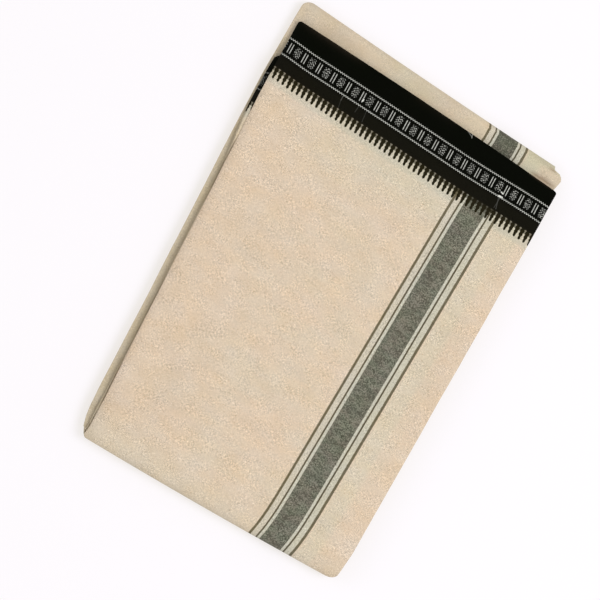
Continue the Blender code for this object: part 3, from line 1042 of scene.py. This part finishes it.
def cotton(name, ground, greener, groups):
    """Matte cotton with its woven pattern, and shade painted into its creases and where it turns round the
    top fold. greener is the ground's colour where it is patchy.
    """
    weave, stripes, border = groups
    material = bpy.data.materials.new(name)
    material.use_nodes = True
    tree = material.node_tree
    surface = tree.nodes["Principled BSDF"]
    fill_in(surface, Specular_IOR_Level=0.02, Sheen_Weight=0.02, Sheen_Roughness=0.6)
    cloth_map = tree.nodes.new("ShaderNodeUVMap")
    cloth_map.uv_map = "cloth"
    in_millimetres = tree.nodes.new("ShaderNodeVectorMath")
    in_millimetres.operation = "SCALE"
    fill_in(in_millimetres, Vector=cloth_map.outputs["UV"], Scale=1 / MM)
    cloth = in_millimetres.outputs[0]

    yarn = placed(tree, weave, Cloth=cloth, Yarn_Pitch=YARN_PITCH)
    edged = placed(tree, border, Cloth=cloth)
    along, across = split(cloth)
    smoother = across.ramp(*STRIP_SMOOTHER)
    light = Wire(yarn.outputs["Light"]) * smoother
    teeth = Wire(edged.outputs["Teeth"])
    below = Wire(edged.outputs["Below"])
    patches = Wire(yarn.outputs["Patches"])
    greenish = (patches * PATCHES_GREENER + below * BELOW_BORDER_GREENER).least(1.0)
    greenish = greenish * along.ramp(*LESS_GREEN_AT_LEFT) * along.ramp(*LESS_GREEN_AT_END)
    starts, ends = GREENER_BESIDE_STRIPES
    greenish = greenish.most(along.ramp(*starts) * along.ramp(*ends))
    starts, ends = GREENER_AT_BOTTOM
    greenish = greenish.most(across.ramp(*starts) * across.ramp(*ends))
    ground_colour = mix(greenish, ground, greener)
    flecks = Wire(yarn.outputs["Fleck"]) * smoother * FLECKS_SHOW
    ground_colour = mix(flecks, ground_colour, FLECK)
    slubs = Wire(yarn.outputs["Slub"]) * smoother * SLUBS_SHOW
    ground_colour = mix(slubs, ground_colour, PALE_SLUB)
    # Painted shade where the strip turns round the top fold at its cut end.
    top_fold_shade = along.ramp(*TURN_ALONG) * across.ramp(*TURN_STARTS) * across.ramp(*TURN_ENDS) * TOP_FOLD_SHADE_SHOWS
    ground_colour = mix(top_fold_shade, ground_colour, TOP_FOLD_SHADE)
    fingers = teeth * below.ramp(*FINGERS) * FINGERS_SHOW
    ground_colour = mix(fingers, ground_colour, PALE_FINGERS)
    striped = placed(tree, stripes, Cloth=cloth, Ground=ground_colour, Light=yarn.outputs["Light"])
    black_yarn = mix(Wire(edged.outputs["Inner"]), BLACK_YARN, FADED_BLACK)
    black_yarn = mix(teeth, black_yarn, TOOTH_BLACK)
    colour = mix(Wire(edged.outputs["Black"]), striped.outputs["Colour"], black_yarn)
    colour = mix(Wire(edged.outputs["White"]), colour, WHITE_YARN)
    # Painted shade in the troughs of the creases.
    crease_shade_attribute = tree.nodes.new("ShaderNodeAttribute")
    crease_shade_attribute.attribute_name = "painted_crease_shade"
    colour = mix(Wire(crease_shade_attribute.outputs["Fac"]) * CREASE_SHADE_SHOWS, colour, PAINTED_CREASE_SHADE)
    shade = tree.nodes.new("ShaderNodeHueSaturation")
    tone = swinging(along, across, "tone", TONE_SWING)
    yellower = swinging(along, across, "yellower", YELLOW_SWING)
    fill_in(shade, Color=colour, Value=light * LIGHT_SWING + 1.0 + tone, Saturation=yellower + 1.0)
    fill_in(surface, Base_Color=shade.outputs["Color"], Roughness=light * ROUGHNESS_SWING + ROUGHNESS)
    bump = tree.nodes.new("ShaderNodeBump")
    fill_in(bump, Strength=0.55, Distance=0.00016, Height=yarn.outputs["Height"])
    fill_in(surface, Normal=bump.outputs["Normal"])
    return material


# ---- the pieces and the studio


def dress_the_pack():
    rows, marks = folded_path()
    groups = (hand_loomed_weave(), stripe_group(), woven_border())
    cream = cotton("cream cotton", CREAM, GREENER_CREAM, groups)
    # The lower stretches and the hidden layers get darker copies of the cream, as painted shade.
    shaded = cotton("shaded cream cotton underneath", SHADED_CREAM, GREENER_SHADED, groups)
    inner = cotton("shaded inner cotton", SHADED_INNER_CREAM, GREENER_SHADED_INNER, groups)
    last = len(rows) - 1
    crest, tongue, foot = marks["bottom crest"], marks["tongue"], marks["second foot"]

    outer_panels = pair(1, SHOWN_COLUMNS)
    hidden_outer = pair(1, HIDDEN_COLUMNS)
    top_panels = pair(7, HIDDEN_COLUMNS)
    middle_panels = side_fold(2)
    for layer in (3, 4, 5, 6):
        middle_panels += panel(layer, HIDDEN_COLUMNS) + side_fold(layer)
    columns = outer_panels + hidden_outer + top_panels + middle_panels
    lengths = {share: lengths_along(rows, share) for share in {column.share for column in columns}}

    pieces = (
        ("face_cloth", "front_stretch", "cream_cotton", cream, ((0, crest, outer_panels),)),
        ("under_cloth", "under_stretch", "cream_cotton", shaded, ((crest, tongue, outer_panels),)),
        ("second_cloth", "second_stretch", "cream_cotton", shaded, ((foot, last, top_panels),)),
        ("inner_panels", "hidden_layers", "inner_cotton", inner, (
            (0, last, middle_panels),
            (0, foot, top_panels),
            (tongue, last, hidden_outer),
        )),
    )
    for name, node, slot, material, parts in pieces:
        runs = [laid_out(rows, lengths, start, end, part) for start, end, part in parts]
        piece = cloth_sheet(name, runs)
        piece.data.materials.append(material)
        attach(piece, "root")
        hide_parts(node)
        area = flat_area(runs)
        start, end = parts[0][:2]
        length = sum(lengths[share][end] - lengths[share][start] for share in (0.0, 1.0)) / 2 * MM
        width = area / length


def studio():
    """A pale floor, soft light from the far right, and a camera straight above the pack."""
    bpy.ops.mesh.primitive_plane_add(size=FLOOR_SIZE, location=(0.0, 0.0, -FLOOR_BELOW))
    floor = bpy.context.active_object
    floor.name = "floor"
    paper = bpy.data.materials.new("white paper")
    paper.use_nodes = True
    surface = paper.node_tree.nodes["Principled BSDF"]
    fill_in(surface, Base_Color=FLOOR_COLOUR, Roughness=0.9, Specular_IOR_Level=0.0)
    fill_in(surface, Emission_Color=FLOOR_GLOW, Emission_Strength=FLOOR_GLOW_STRENGTH)
    floor.data.materials.append(paper)

    world = bpy.data.worlds.new("studio")
    world.use_nodes = True
    fill_in(world.node_tree.nodes["Background"], Color=SKY_COLOUR, Strength=SKY_STRENGTH)
    bpy.context.scene.world = world

    for name, place, size, watts in SOFTBOXES:
        lamp = bpy.data.lights.new(name, "AREA")
        lamp.shape = "DISK"
        lamp.size = size
        lamp.energy = watts
        holder = bpy.data.objects.new(name, lamp)
        holder.location = place
        holder.rotation_euler = (-Vector(place)).to_track_quat("-Z", "Y").to_euler()
        bpy.context.collection.objects.link(holder)

    camera = bpy.data.cameras.new("overhead camera")
    camera.sensor_width = SENSOR
    camera.lens = LENS
    holder = bpy.data.objects.new("overhead camera", camera)
    above = PACK_HEIGHT * MM + FRAME_WIDTH * LENS / SENSOR
    holder.location = (*CAMERA_OVER, above)
    holder.rotation_euler = (0.0, 0.0, math.radians(CAMERA_TURN))
    bpy.context.collection.objects.link(holder)
    bpy.context.scene.camera = holder
    bpy.context.scene.view_settings.view_transform = "Standard"


studio()
dress_the_pack()
